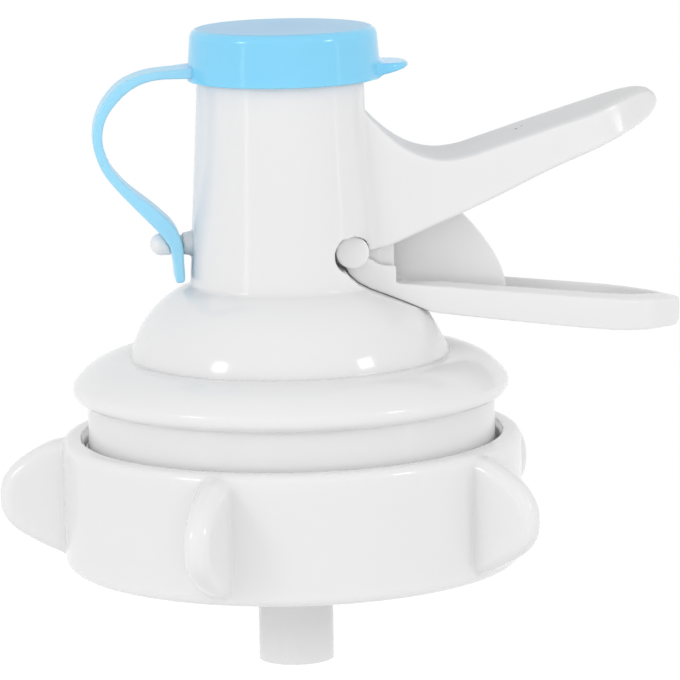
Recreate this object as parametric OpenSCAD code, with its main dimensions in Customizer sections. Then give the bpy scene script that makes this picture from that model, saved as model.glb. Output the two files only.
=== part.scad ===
// Squeeze-lever pouring head for a crown-neck water jug.
// Millimetres. +Z points up the spout, the handle and the lever reach along +X.
// The origin is on the neck's axis, in the plane where the jug's mouth meets its gasket.

/* [Jug neck] */
// Diameter of the bead round the jug's mouth
bead_d = 57; // [55:0.5:59]
// Height of that bead
bead_h = 4.5; // [3:0.5:6]
// Diameter of the neck under the bead
neck_d = 53; // [51:0.5:54]
// Inside diameter of the neck
neck_bore_d = 44; // [40:1:46]
// Gap between the bead and the skirt round it
bead_gap = 0.35; // [0.2:0.05:0.6]

/* [Housing] */
// Wall of the skirt
skirt_wall = 1.3; // [1:0.1:1.8]
// How far the skirt reaches below the jug's mouth
skirt_drop = 12; // [10:0.5:13]
// Radius of the lens-shaped flange
flange_r = 32.2; // [31.8:0.1:34]
// Thickness of the flange from its lower face to the dome
flange_h = 6.2; // [5.8:0.1:7]
// Radius of the flange's rounded edge
flange_edge_r = 1.7; // [1.3:0.1:2]
// Radius of the curve over the flange
flange_crown_r = 8.8; // [8:0.1:14]
// Radius of the dome at its foot
dome_r = 23.6; // [22.6:0.1:24.6]
// Height of the dome
dome_h = 10.6; // [9.8:0.1:11.4]
// Radius of the curve over the dome
dome_crown_r = 14; // [11:0.1:18]
// Wall of the dome
dome_wall = 2; // [1.6:0.1:2.4]
// Radius of the tower at its foot
tower_foot_r = 14.5; // [14.2:0.1:15]
// Radius of the tower under the cap
tower_top_r = 12.8; // [12.4:0.1:13.4]
// Height of the tower from the dome to the cap
tower_h = 30.4; // [28:0.2:34]
// Wall of the tower
tower_wall = 2; // [1.6:0.1:2.4]
// Height of the spout's rim inside the cap
rim_h = 5.4; // [4:0.2:6.5]
// Wall of the spout's rim
mouth_wall = 2.3; // [2:0.1:2.8]

/* [Handle] */
// Reach of the handle from the axis
handle_reach = 54.5; // [48:0.5:60]
// Width of the handle
handle_w = 15.4; // [14.8:0.1:18]
// Wall of the handle's sides
handle_side = 1.5; // [1.2:0.1:1.8]
// Thickness of the handle's top
handle_top = 2; // [1.6:0.1:2.6]
// Height of the handle's lowest point above the pivot
saddle_rise = 13.3; // [12.5:0.1:15]
// Slope of the handle's top
handle_slope = 16.8; // [14:0.2:19]
// Depth of the handle at its tip
handle_tip_h = 3.2; // [2.6:0.1:3.6]

/* [Lever] */
// Distance of the pivot from the axis
pivot_x = 8.8; // [8.4:0.1:9.4]
// Height of the pivot above the dome
pivot_rise = 5.4; // [5:0.1:6]
// Reach of the lever from its pivot
lever_reach = 49.4; // [44:0.2:52]
// Width of the lever
lever_w = 14.8; // [14.2:0.1:15]
// Wall of the lever's sides, floor and tip
lever_wall = 1.5; // [1.2:0.1:1.7]
// Slope of the lever's rim at rest
rim_slope = 6.1; // [5:0.1:7.5]
// Depth of the lever at its tip
lever_tip_h = 3.8; // [3.2:0.1:4.4]
// Radius of the round knuckles
knuckle_r = 2.6; // [2.4:0.05:2.8]
// How far a knuckle stands out of its arm
knuckle_out = 2.2; // [1.6:0.1:2.8]
// Radius of the trunnions that turn in the cheeks
trunnion_r = 1.6; // [1.4:0.05:1.8]
// Thickness of the fan web and its finger's sides
fan_t = 1.8; // [1.4:0.1:2.4]
// Width of the finger that pushes the stem
finger_w = 4.8; // [4:0.1:5.4]
// Radius of the finger's nose
nose_r = 1.7; // [1.4:0.05:1.9]
// Largest squeeze of the lever, in degrees
squeeze = 24; // [20:1:26]
// Gap round the lever's arms in the housing
arm_gap = 0.35; // [0.25:0.05:0.45]

/* [Cap and strap] */
// Wall of the cap's side
cap_wall = 1.4; // [1.1:0.1:1.8]
// Height of the cap
cap_h = 7.4; // [6.8:0.1:9]
// Thickness of the cap's roof
cap_roof = 1.4; // [1:0.1:1.8]
// Reach of the thumb tab past the cap
tab_reach = 3.9; // [3:0.1:6]
// Width of the thumb tab
tab_w = 9; // [6:0.5:12]
// Thickness of the thumb tab
tab_t = 1.6; // [1.2:0.1:2.2]
// Width of the strap
strap_w = 7; // [5:0.5:8]
// Thickness of the strap
strap_t = 1.4; // [1:0.1:1.6]
// Radius of the peg's shaft
peg_r = 1.35; // [1.2:0.05:1.5]
// Radius of the peg's round head
peg_head_r = 1.7; // [1.6:0.05:2]
// Thickness of the soft ring in the cap
cap_seal_h = 0.8; // [0.5:0.1:1]

/* [Clamp ring] */
// Wall of the ring over its thread
ring_wall = 3.2; // [2.6:0.1:4]
// Height of the ring
ring_h = 19.1; // [18:0.1:21]
// Gap from the jug's mouth plane down to the ring's top
ring_drop = 1.4; // [1.2:0.1:2]
// Depth of the thread
thread_depth = 0.55; // [0.4:0.05:0.8]
// Number of wings
wings = 5; // [3:1:6]
// Reach of a wing past the ring
wing_out = 9.6; // [7:0.2:12]
// Thickness of a wing
wing_t = 4; // [3:0.1:5.5]
// Radius of the ring's rounded edges
ring_edge_r = 1.2; // [0.8:0.1:1.4]

/* [Collar and gasket] */
// Thickness of the neck gasket
gasket_h = 2.5; // [2:0.1:3]
// Margin of the gasket round the neck's bore
gasket_margin = 0.5; // [0.3:0.1:1]
// Number of slots in the collar's sleeve
collar_slots = 8; // [4:1:12]
// Width of those slots
slot_w = 1.2; // [0.8:0.1:2]
// Width of the collar's split
split_w = 3; // [2:0.25:4]

/* [Valve] */
// Thickness of the seat plate
plate_h = 2.5; // [2:0.1:3]
// Radius of the water port
port_r = 9; // [8:0.1:9.4]
// Radius of the valve disc
disc_r = 11.5; // [11:0.1:11.8]
// Thickness of the valve disc
disc_h = 1.8; // [1.4:0.1:2.2]
// Thickness of the soft washer on the disc
washer_h = 1.6; // [1.2:0.1:2]
// Height of the raised seat under the plate
seat_h = 0.8; // [0.5:0.1:1]
// Radius of the stem
stem_r = 2; // [1.8:0.05:2.2]
// Radius of the stem's bore
stem_bore_r = 1; // [0.8:0.05:1.1]
// Radius of the stem's head
head_r = 3; // [2.8:0.05:3.3]
// Thickness of the stem's head
head_h = 1.6; // [1.2:0.1:1.8]
// Section diameter of the small O-rings
oring_d = 1.6; // [1.4:0.1:1.8]

/* [Cage] */
// Inside radius of the cage
cage_r = 12.8; // [12.4:0.1:13.2]
// Wall of the cage's ribs
cage_wall = 1.6; // [1.4:0.1:2]
// Depth of the cage's floor under the jug's mouth
cage_depth = 17; // [16:0.2:18]
// Thickness of the cage's floor
floor_h = 2; // [1.6:0.1:2.4]
// Radius of the stub tube
stub_r = 5.6; // [5.3:0.05:6]
// Radius of the stub tube's bore
stub_bore_r = 4.1; // [3.6:0.05:4.3]
// Length of the stub tube under the floor
stub_len = 16.8; // [14:0.2:22]
// Wire diameter of the return spring
wire_d = 0.9; // [0.7:0.05:1]
// Turns of the return spring
spring_turns = 6; // [4:1:7]

/* [Hidden] */
$fn = 96;

// Fits and small clearances
run_gap = 0.05;
snug_gap = 0.1;
free_gap = 0.3;
over = 1;

// Neck, skirt and seats
skirt_ir = bead_d / 2 + bead_gap;
skirt_r = skirt_ir + skirt_wall;
thread_r = skirt_r + thread_depth;
plate_z = gasket_h;
shoulder_z = plate_z + plate_h;
flange_z = shoulder_z - 0.8;
dome_z = flange_z + flange_h;
tower_z = dome_z + dome_h;
cap_z = tower_z + tower_h;
rim_z = cap_z + rim_h;
rim_r = tower_top_r - 0.1;
mouth_r = rim_r - mouth_wall;
void_r = skirt_ir - 3.85;

// Lever
pivot_z = tower_z + pivot_rise;
arm_in = lever_w / 2 - lever_wall;
cheek_out = arm_in - 0.2;
cheek_t = 1.5;
cheek_in = cheek_out - cheek_t;
cheek_x = pivot_x + 5.5;
rim_start = [5.5, -5];
heel = [11.6, -9.5];
floor_slope = 7.9;
lever_tip_r = 1.7;
lever_corner_r = 5.6;
knuckle_relief_r = knuckle_r + 0.6;

// Handle, in the XZ plane from the axis and the pivot's height
saddle = [24.2, pivot_z + saddle_rise];
root_x = tower_top_r - 1.2;
under_root = [pivot_x + 3.4, pivot_z + 0.1];
under_knee = [pivot_x + 16.2, pivot_z + 4.9];
handle_tip_r = 7;

// Stem and valve
nose_z = pivot_z - nose_r;
head_z = nose_z - 0.2;
stem_travel = pivot_x * squeeze * PI / 180;
core_z = 13;
gland_z = core_z + 1.5;
gland_r = stem_r + oring_d;
bush_h = 1.3;
pocket_z = gland_z + oring_d + bush_h;
washer_z = plate_z - seat_h - run_gap - washer_h;
disc_z = washer_z - disc_h;
clip_h = 0.8;
floor_z = -cage_depth;
stub_z = floor_z - floor_h - stub_len;
guide_h = 5;
tail_z = floor_z - guide_h - 1.8;
spring_r = 5.2;
spring_washer_h = 0.6;
vent_z = floor_z - guide_h + 1.7;

// Ring and collar
ring_top = -ring_drop;
ring_bot = ring_top - ring_h;
ring_bore_r = thread_r + snug_gap;
ring_r = ring_bore_r + ring_wall;
wing_reach = ring_r + wing_out;
ring_floor = 1.8;
collar_r = neck_d / 2 + 0.2;
collar_top = -bead_h - free_gap;
collar_out = skirt_ir - free_gap;
collar_foot = ring_bot + ring_floor + free_gap;
collar_flange_top = -skirt_drop - 1;

white = [0.93, 0.935, 0.94];
blue = [0.53, 0.82, 0.99];

// Centre of the circle of radius r through p and q, on the right-hand side going from p to q
function chord_centre(p, q, r) =
  let (d = q - p, l = norm(d), h = sqrt(max(0, r * r - l * l / 4)))
  (p + q) / 2 + h * [d[1], -d[0]] / l;

// Points from p to q along that circle, bulging to the left-hand side
function bulge(p, q, r, n) =
  let (c = chord_centre(p, q, r), a0 = atan2(p[1] - c[1], p[0] - c[0]), a1 = atan2(q[1] - c[1], q[0] - c[0]),
       turn = a1 > a0 ? a1 - a0 - 360 : a1 - a0)
  [for (i = [0:n]) c + r * [cos(a0 + turn * i / n), sin(a0 + turn * i / n)]];

// Points on a circle about c from angle a0 to angle a1
function round_edge(c, r, a0, a1, n) =
  [for (i = [0:n]) c + r * [cos(a0 + (a1 - a0) * i / n), sin(a0 + (a1 - a0) * i / n)]];

// Catmull-Rom curve through a list of points, n steps for each stretch
function smooth_point(p, i, t) =
  let (a = p[max(i - 1, 0)], b = p[i], c = p[i + 1], d = p[min(i + 2, len(p) - 1)])
  0.5 * (2 * b + (c - a) * t + (2 * a - 5 * b + 4 * c - d) * t * t + (3 * b - a - 3 * c + d) * t * t * t);
function smooth_path(p, n) =
  concat([for (i = [0:len(p) - 2], k = [0:n - 1]) smooth_point(p, i, k / n)], [p[len(p) - 1]]);

// Extrudes a drawing made in the XZ plane over the given span of Y
module side_plate(y0, y1) {
  translate([0, y1, 0])
    rotate([90, 0, 0])
      linear_extrude(height = y1 - y0)
        children();
}

// Block with its low and high corners
module block(low, high) {
  translate(low)
    cube(high - low);
}

// Tube section drawn about the Z axis
module ring_solid(r_in, r_out, z0, z1) {
  rotate_extrude()
    polygon([[r_in, z0], [r_out, z0], [r_out, z1], [r_in, z1]]);
}

// O-ring with centre radius r at height z
module o_ring(r, z, d) {
  rotate_extrude()
    translate([r, z])
      circle(d = d, $fn = 32);
}

// ---------------------------------------------------------------- housing

flange_edge_c = [flange_r - flange_edge_r, flange_z + flange_edge_r];
dome_foot = [dome_r, dome_z];
dome_head = [tower_foot_r, tower_z];

module housing_outline() {
  crown_end = flange_edge_c + flange_edge_r * [cos(24), sin(24)];
  polygon(concat(
    [[0, rim_z], [rim_r - 0.5, rim_z], [rim_r, rim_z - 0.5], [rim_r, cap_z + 0.2], [tower_top_r, cap_z]],
    bulge(dome_head, dome_foot, dome_crown_r, 14),
    bulge([dome_r + 0.02, dome_z - 0.05], crown_end, flange_crown_r, 12),
    round_edge(flange_edge_c, flange_edge_r, 12, -90, 6),
    [[skirt_r, flange_z], [skirt_r, -2], [thread_r, -2.6], [thread_r, 0.6 - skirt_drop],
     [skirt_r, -skirt_drop], [0, -skirt_drop]]
  ));
}

module water_way() {
  inner_foot = [dome_r - dome_wall, dome_z - 1];
  inner_head = [tower_foot_r - tower_wall, tower_z - dome_wall];
  rotate_extrude()
    polygon(concat(
      [[0, -skirt_drop - over], [skirt_ir, -skirt_drop - over], [skirt_ir, shoulder_z], [void_r, shoulder_z],
       [void_r, shoulder_z + 2.6]],
      [for (i = [14:-1:0]) bulge(inner_head, inner_foot, dome_crown_r - dome_wall, 14)[i]],
      [[tower_foot_r - tower_wall, tower_z], [mouth_r, cap_z - 4], [mouth_r, rim_z + over], [0, rim_z + over]]
    ));
}

// Lower edge of the lever's arm from its knuckle to its heel and the floor line, moved out by gap
function arm_edge(gap) =
  let (start = [cos(-140), sin(-140)],
       p = [knuckle_r * start, [-0.4, -3.5], [0.9, -4.7], [2.6, -5.7], [4.6, -6.5], [7, -7.5], heel,
            heel + 6 * [cos(floor_slope), -sin(floor_slope)]],
       last = len(p) - 1)
  [for (i = [0:last])
    let (d = p[min(i + 1, last)] - p[max(i - 1, 0)])
    p[i] + gap * (i == 0 ? start : [d[1], -d[0]] / norm(d))];

module arm_recess() {
  low = arm_edge(arm_gap);
  translate([pivot_x, pivot_z])
    union() {
      circle(r = knuckle_r + arm_gap);
      polygon(concat([[0, 0]], low, [[low[len(low) - 1][0], 0.1], [0, 0.1]]));
    }
}

module mechanism_core() {
  block([-5.7, -cheek_out, core_z], [cheek_x, cheek_out, pivot_z + 8.6]);
  block([4.9, -lever_w / 2 - 1.8, gland_z], [dome_r - dome_wall + 0.4, lever_w / 2 + 1.8, pivot_z + 4.6]);
  block([4.9, -tower_foot_r + 1.5, tower_z - 2], [cheek_x, tower_foot_r - 1.5, pivot_z + 4.6]);
}

module handle_side_outline() {
  tip_top = saddle[1] + (handle_reach - 3.5 - saddle[0]) * tan(handle_slope);
  top_end = [handle_reach - 3.5, tip_top];
  under_end = [handle_reach - 2.6, tip_top - handle_tip_h];
  under_bend = under_end - 1.35 * (under_end - under_knee) / norm(under_end - under_knee);
  polygon(concat(
    [[under_root[0] - 2, under_root[1]], [6, under_root[1]], [6, cap_z - 0.02], [root_x, cap_z - 0.02]],
    [for (i = [10:-1:0]) bulge(saddle + [0.6, 0.1], [root_x, cap_z - 4.2], 11.6, 10)[i]],
    [top_end],
    round_edge([top_end[0] + 1.1, tip_top - 1.6], 1.75, 96, -30, 6),
    [under_end, under_bend, under_knee, under_root]
  ));
}

module handle_channel_outline() {
  roof0 = saddle + [0, -handle_top];
  reach = handle_reach - 9;
  roof1 = [reach, roof0[1] + (reach - saddle[0]) * tan(handle_slope)];
  polygon([[cheek_x, under_root[1] - 6], [cheek_x, roof0[1] + 2.2], [cheek_x + 3.5, roof0[1] + 0.2],
           roof0, roof1, [reach, roof1[1] - 9], [saddle[0], under_root[1] - 6]]);
}

// Bar from x0 to x1 with two rounded corners of radius r at its far end
module round_bar(x0, x1, w, r) {
  translate([x0, -w / 2])
    square([x1 - r - x0, w]);
  translate([x0, -w / 2 + r])
    square([x1 - x0, w - 2 * r]);
  for (s = [-1, 1])
    translate([x1 - r, s * (w / 2 - r)])
      circle(r = r);
}

module handle() {
  intersection() {
    side_plate(-handle_w / 2, handle_w / 2)
      handle_side_outline();
    translate([0, 0, pivot_z - 2])
      linear_extrude(height = cap_z - pivot_z + 10)
        round_bar(4, handle_reach, handle_w, handle_tip_r);
  }
}

// Outer radius of the tower at height z
function tower_at(z) = tower_foot_r + (tower_top_r - tower_foot_r) * (z - tower_z) / tower_h;

peg_z = pivot_z + 0.8;
peg_wall_r = tower_at(peg_z);
peg_x = -peg_wall_r - 4.25;

module strap_peg() {
  head_x = -peg_x - 0.2;
  tip_x = -peg_x + 1.9;
  translate([0, 0, peg_z])
    rotate([0, -90, 0])
      rotate_extrude()
        polygon(concat(
          [[0, peg_wall_r - 1.65], [peg_r + 1.2, peg_wall_r - 1.65], [peg_r + 1.1, peg_wall_r - 0.45],
           [peg_r + 0.4, peg_wall_r + 0.45], [peg_r, peg_wall_r + 1.25], [peg_r, head_x],
           [peg_head_r - 0.1, head_x + 0.2]],
          round_edge([0, tip_x - peg_head_r], peg_head_r, 0, 90, 7)
        ));
}

module housing() {
  color(white)
    difference() {
      union() {
        difference() {
          union() {
            difference() {
              rotate_extrude()
                housing_outline();
              // Flat under the cap, above the handle's root
              block([root_x, -handle_w / 2, saddle[1] - 4], [tower_foot_r + over, handle_w / 2, cap_z]);
            }
            handle();
            strap_peg();
          }
          water_way();
        }
        intersection() {
          rotate_extrude()
            housing_outline();
          mechanism_core();
        }
      }
      // Recess for the lever's arms and floor, round the cheeks
      difference() {
        side_plate(-15, 15)
          arm_recess();
        block([-over, -cheek_out, core_z], [cheek_x, cheek_out, pivot_z + 4]);
      }
      // Relief over each knuckle in the handle's root
      for (s = [-1, 1])
        side_plate(s > 0 ? cheek_out : -15, s > 0 ? 15 : -cheek_out)
          translate([pivot_x, pivot_z])
            circle(r = knuckle_relief_r);
      // Pocket between the cheeks
      block([-4.2, -cheek_in, pocket_z], [cheek_x + 0.01, cheek_in, pivot_z + 6.8]);
      // Channel under the handle
      side_plate(-handle_w / 2 + handle_side, handle_w / 2 - handle_side)
        handle_channel_outline();
      // Gland for the stem
      translate([0, 0, core_z - over])
        cylinder(r = stem_r + run_gap, h = 10);
      translate([0, 0, gland_z])
        cylinder(r = gland_r, h = 10);
      // Trunnion holes through the cheeks
      translate([pivot_x, cheek_out + over, pivot_z])
        rotate([90, 0, 0])
          cylinder(r = trunnion_r + run_gap, h = 2 * cheek_out + 2 * over);
    }
}

// ---------------------------------------------------------------- lever

function rim_at(x) = rim_start[1] - tan(rim_slope) * (x - rim_start[0]);

module lever_side_outline() {
  low = arm_edge(0);
  last = len(low) - 1;
  tip = [lever_reach, rim_at(lever_reach)];
  tip_low = [lever_reach - 3.2, tip[1] - lever_tip_h + 0.1];
  polygon(concat(
    [low[0] * 0.8], [for (i = [1:last]) low[i]],
    [tip_low - [8, -0.55], tip_low],
    round_edge(tip + [-lever_tip_r, -lever_tip_r - 0.2], lever_tip_r, -55, 80, 6),
    [[40, rim_at(40)], rim_start, [3.9, rim_start[1] + 0.5], [3.1, rim_start[1] + 1.4],
     [knuckle_r - 0.2, -0.4], [0, 0]]
  ));
}

module lever_tray_outline() {
  start = cheek_x - pivot_x + 0.3;
  end = lever_reach - lever_wall;
  low = heel[1] + lever_wall;
  polygon([
    [start + lever_wall, 2], [start + lever_wall, rim_at(start) - 0.2], [heel[0] + 0.6, low],
    [end - 10, low - tan(floor_slope) * (end - 10 - heel[0]) + 0.1],
    [end - 2, rim_at(end) - lever_tip_h + lever_wall + 0.3],
    [end, rim_at(end) - lever_tip_h + lever_wall + 1],
    [end, 2]
  ]);
}

module fan_outline() {
  top = [17.8, 3.2];
  foot = [23.3, -7];
  root = cheek_x - pivot_x + 0.5;
  polygon(concat(
    [[-pivot_x, nose_r], [-pivot_x, -nose_r], [0.5, -nose_r], [root, -6.9], [heel[0], heel[1] + 0.4],
     [foot[0], heel[1] - 1]],
    [for (i = [10:-1:0]) bulge(top, foot, 13, 10)[i]],
    [[5, 3.1], [1.5, nose_r]]
  ));
}

module squeeze_lever() {
  floor_x = cheek_x - pivot_x + 0.3;
  color(white)
    translate([pivot_x, 0, pivot_z]) {
      difference() {
        intersection() {
          side_plate(-lever_w / 2, lever_w / 2)
            lever_side_outline();
          translate([0, 0, -30])
            linear_extrude(height = 60)
              round_bar(-10, lever_reach, lever_w, lever_corner_r);
        }
        intersection() {
          side_plate(-arm_in, arm_in)
            lever_tray_outline();
          translate([0, 0, -30])
            linear_extrude(height = 60)
              round_bar(0, lever_reach - lever_wall, 2 * arm_in, lever_corner_r - lever_wall);
        }
        block([-10, -arm_in, -20], [floor_x, arm_in, 20]);
      }
      side_plate(-fan_t / 2, fan_t / 2)
        fan_outline();
      side_plate(-finger_w / 2, finger_w / 2) {
        polygon([[-pivot_x, nose_r], [-pivot_x, -nose_r], [0.5, -nose_r], [3.5, 0], [1.5, nose_r]]);
        translate([-pivot_x, 0])
          circle(r = nose_r);
      }
      for (s = [-1, 1]) {
        translate([0, s * arm_in, 0])
          rotate([-s * 90, 0, 0])
            cylinder(r = knuckle_r, h = lever_wall + knuckle_out);
        translate([0, s * (cheek_in - 0.2), 0])
          rotate([-s * 90, 0, 0])
            cylinder(r = trunnion_r, h = arm_in - cheek_in + 0.6);
      }
    }
}

// ---------------------------------------------------------------- cap and strap

cap_r = tower_top_r + run_gap + cap_wall;
cap_top = cap_z + cap_h;
strap_z = cap_z + 1.6;
plug_depth = 3;
plug_wall = 1.3;

module spout_cap() {
  color(blue)
    difference() {
      union() {
        rotate_extrude()
          polygon(concat(
            [[0, cap_z + 0.1], [cap_r - 0.3, cap_z + 0.1], [cap_r, cap_z + 0.4]],
            round_edge([cap_r - 1, cap_top - 0.7], 0.7, 0, 90, 5),
            [[0, cap_top]]
          ));
        translate([0, 0, cap_z + 0.2])
          linear_extrude(height = tab_t)
            round_bar(cap_r - 2, cap_r + tab_reach, tab_w, tab_w / 2 - 1);
      }
      rotate_extrude()
        polygon([
          [0, cap_z - over], [tower_top_r + run_gap, cap_z - over],
          [tower_top_r + run_gap, rim_z + cap_seal_h],
          [mouth_r - snug_gap, rim_z + cap_seal_h], [mouth_r - snug_gap, rim_z - plug_depth + 0.4],
          [mouth_r - snug_gap - 0.3, rim_z - plug_depth],
          [mouth_r - snug_gap - plug_wall, rim_z - plug_depth],
          [mouth_r - snug_gap - plug_wall, cap_top - cap_roof], [0, cap_top - cap_roof]
        ]);
    }
}

// Route of the strap from the cap to its tail: distance out from the wall, height over strap_z, share of strap_t
strap_route = [
  [0.15, -0.4, 1], [-3.75, -0.7, 1], [-7.26, -1.8, 1], [-10.36, -4, 1], [-12.47, -6.8, 1], [-13.18, -9.8, 1],
  [-12.89, -12.4, 1], [-11.8, -14.8, 1], [-9.91, -16.9, 1], [-7.52, -19.1, 1.05], [-5.03, -21.4, 1.25],
  [-3.04, -23.7, 1.5], [-2.25, -26, 1.25], [-2.05, -28.6, 1.05], [-1.95, -31, 1]
];

// Radius of that wall, going from the cap's to the tower's at the peg
function strap_wall_r(drop) = cap_r + (peg_wall_r - cap_r) * min(1, drop / (strap_z - peg_z));

module strap_band() {
  path = smooth_path([for (p = strap_route) p + [-strap_wall_r(-p[1]), strap_z, 0]], 4);
  last = len(path) - 1;
  side = [for (i = [0:last])
    let (d = path[min(i + 1, last)] - path[max(i - 1, 0)])
    path[i][2] * strap_t / 2 * [d[1], -d[0]] / norm([d[0], d[1]])];
  polygon(concat(
    [for (i = [0:last]) [path[i][0], path[i][1]] + side[i]],
    [for (i = [last:-1:0]) [path[i][0], path[i][1]] - side[i]]
  ));
}

module cap_strap() {
  color(blue)
    difference() {
      side_plate(-strap_w / 2, strap_w / 2)
        strap_band();
      translate([0, 0, cap_z - over])
        cylinder(r = cap_r + 0.01, h = cap_h);
      translate([peg_x - 2, 0, peg_z])
        rotate([0, 90, 0])
          cylinder(r = peg_r + snug_gap, h = 6);
    }
}

module cap_seal() {
  color("whitesmoke")
    ring_solid(mouth_r, tower_top_r, rim_z, rim_z + cap_seal_h);
}

// ---------------------------------------------------------------- ring, collar, gasket

module wing_outline() {
  nose = [wing_reach - 4.6, ring_bot + 9.9];
  polygon(concat(
    [[ring_r - 1.5, ring_top - 0.9]],
    bulge([ring_r - 1.5, ring_top - 0.5], nose + 4.6 * [cos(38), sin(38)], 26, 6),
    round_edge(nose, 4.6, 30, -50, 8),
    [[ring_r - 0.2, ring_bot + 1.2], [ring_r - 1.5, ring_bot + 1.4]]
  ));
}

module wing() {
  intersection() {
    side_plate(-wing_t / 2 - 1, wing_t / 2 + 1)
      wing_outline();
    translate([0, 0, ring_bot - 1])
      linear_extrude(height = ring_h + 2) {
        polygon([[ring_r - 2.5, wing_t / 2 + 0.8], [ring_r - 2.5, -wing_t / 2 - 0.8],
                 [wing_reach - wing_t / 2 + 0.4, 0.2 - wing_t / 2],
                 [wing_reach - wing_t / 2 + 0.4, wing_t / 2 - 0.2]]);
        translate([wing_reach - wing_t / 2 + 0.1, 0])
          circle(r = wing_t / 2 - 0.1);
      }
  }
}

module clamp_ring() {
  lip_r = collar_r + 1.4;
  color(white)
    difference() {
      union() {
        rotate_extrude()
          polygon(concat(
            [[collar_r - 5, ring_top], [ring_r - ring_edge_r, ring_top]],
            round_edge([ring_r - ring_edge_r, ring_top - ring_edge_r], ring_edge_r, 80, 0, 5),
            round_edge([ring_r - ring_edge_r, ring_bot + ring_edge_r], ring_edge_r, 0, -90, 6),
            [[collar_r - 5, ring_bot]]
          ));
        for (i = [0:wings - 1])
          rotate([0, 0, 31 + 360 / wings * i])
            wing();
      }
      rotate_extrude()
        polygon([
          [0, ring_top + over], [ring_bore_r + 0.5, ring_top + over], [ring_bore_r + 0.5, ring_top - 0.3],
          [ring_bore_r, ring_top - 0.8], [ring_bore_r, collar_flange_top - 1.2],
          [lip_r + 1, ring_bot + ring_floor],
          [lip_r, ring_bot + ring_floor], [lip_r, ring_bot - over], [0, ring_bot - over]
        ]);
    }
}

module grip_collar() {
  lip_r = collar_r + 1.4;
  color("gainsboro")
    difference() {
      rotate_extrude()
        polygon([
          [collar_r, collar_foot], [lip_r + 1 - free_gap, collar_foot],
          [ring_bore_r - free_gap, collar_flange_top - 1.2 + free_gap / 2], [ring_bore_r - free_gap, collar_flange_top],
          [collar_out, collar_flange_top], [collar_out, collar_top - 0.6], [collar_out - 0.6, collar_top],
          [collar_r, collar_top]
        ]);
      for (i = [0:collar_slots - 1])
        rotate([0, 0, 360 / collar_slots * (i + 0.5)])
          translate([collar_r - 5, -slot_w / 2, collar_flange_top + 0.8])
            cube([ring_r - collar_r, slot_w, ring_h]);
      translate([collar_r - 5, -split_w / 2, ring_bot])
        cube([ring_r - collar_r, split_w, ring_h]);
    }
}

module neck_gasket() {
  color("lightgray")
    ring_solid(neck_bore_d / 2 + gasket_margin, bead_d / 2, 0, gasket_h);
}

// ---------------------------------------------------------------- valve

rim_seal_d = 1.5;
groove_d = rim_seal_d + free_gap;
screw_shaft_r = 0.95;
screw_head_r = 1.9;
screw_head_h = 1.2;
screw_grip = 3.4;
lug_h = 2;

module seat_plate() {
  rim = skirt_ir - snug_gap;
  color("ghostwhite")
    difference() {
      union() {
        ring_solid(port_r, rim, plate_z, shoulder_z);
        ring_solid(port_r, port_r + 1.2, plate_z - seat_h, plate_z + 0.1);
      }
      // Groove for the rim seal
      rotate_extrude()
        translate([rim, (plate_z + shoulder_z) / 2])
          square([2 * rim_seal_d, groove_d], center = true);
      screw_places()
        translate([0, 0, plate_z - over])
          cylinder(r = screw_shaft_r, h = over + plate_h - 0.5);
    }
}

module plate_seal() {
  color("dimgray")
    o_ring(skirt_ir - rim_seal_d / 2 - run_gap, (plate_z + shoulder_z) / 2, rim_seal_d);
}

module valve_disc() {
  color("ghostwhite")
    rotate_extrude()
      polygon([
        [stem_r, disc_z], [disc_r - 0.4, disc_z], [disc_r, disc_z + 0.4], [disc_r, washer_z + 0.3], [disc_r - 0.6, washer_z + 0.3],
        [disc_r - 0.6, washer_z], [stem_r, washer_z]
      ]);
}

module disc_washer() {
  color("dimgray")
    ring_solid(stem_r, disc_r - 0.7, washer_z, washer_z + washer_h);
}

module disc_clip() {
  color("silver")
    difference() {
      ring_solid(stem_r, stem_r + 1.3, disc_z - clip_h, disc_z);
      block([0, -stem_r * 0.7, disc_z - clip_h - over], [6, stem_r * 0.7, disc_z + over]);
    }
}

module valve_stem() {
  color("whitesmoke")
    difference() {
      union() {
        translate([0, 0, tail_z])
          cylinder(r = stem_r, h = head_z - tail_z);
        translate([0, 0, head_z - head_h])
          cylinder(r = head_r, h = head_h);
        // Shoulder over the washer
        translate([0, 0, washer_z + washer_h])
          cylinder(r = stem_r + 1, h = 1.2);
      }
      // Air way, closed at the tail
      translate([0, 0, tail_z + 1.5])
        cylinder(r = stem_bore_r, h = head_z - tail_z);
      // Air inlets under the head and outlets at the tail
      for (z = [head_z - head_h - 0.9, vent_z])
        translate([-stem_r - over, 0, z])
          rotate([0, 90, 0])
            cylinder(r = 0.7, h = 2 * stem_r + 2 * over);
    }
}

module stem_seal() {
  color("dimgray")
    o_ring(stem_r + oring_d / 2, gland_z + oring_d / 2, oring_d);
}

module gland_bush() {
  color("whitesmoke")
    ring_solid(stem_r + run_gap, gland_r, gland_z + oring_d, pocket_z);
}

spring_low = floor_z + spring_washer_h + wire_d / 2;
spring_high = disc_z - wire_d / 2;
curl_rings = 8;
tube_sides = 6;

// Centre of the wire, t running from 0 to 1
function wire_at(t) =
  let (a = 360 * spring_turns * t)
  [spring_r * cos(a), spring_r * sin(a), spring_low + (spring_high - spring_low) * t];

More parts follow.
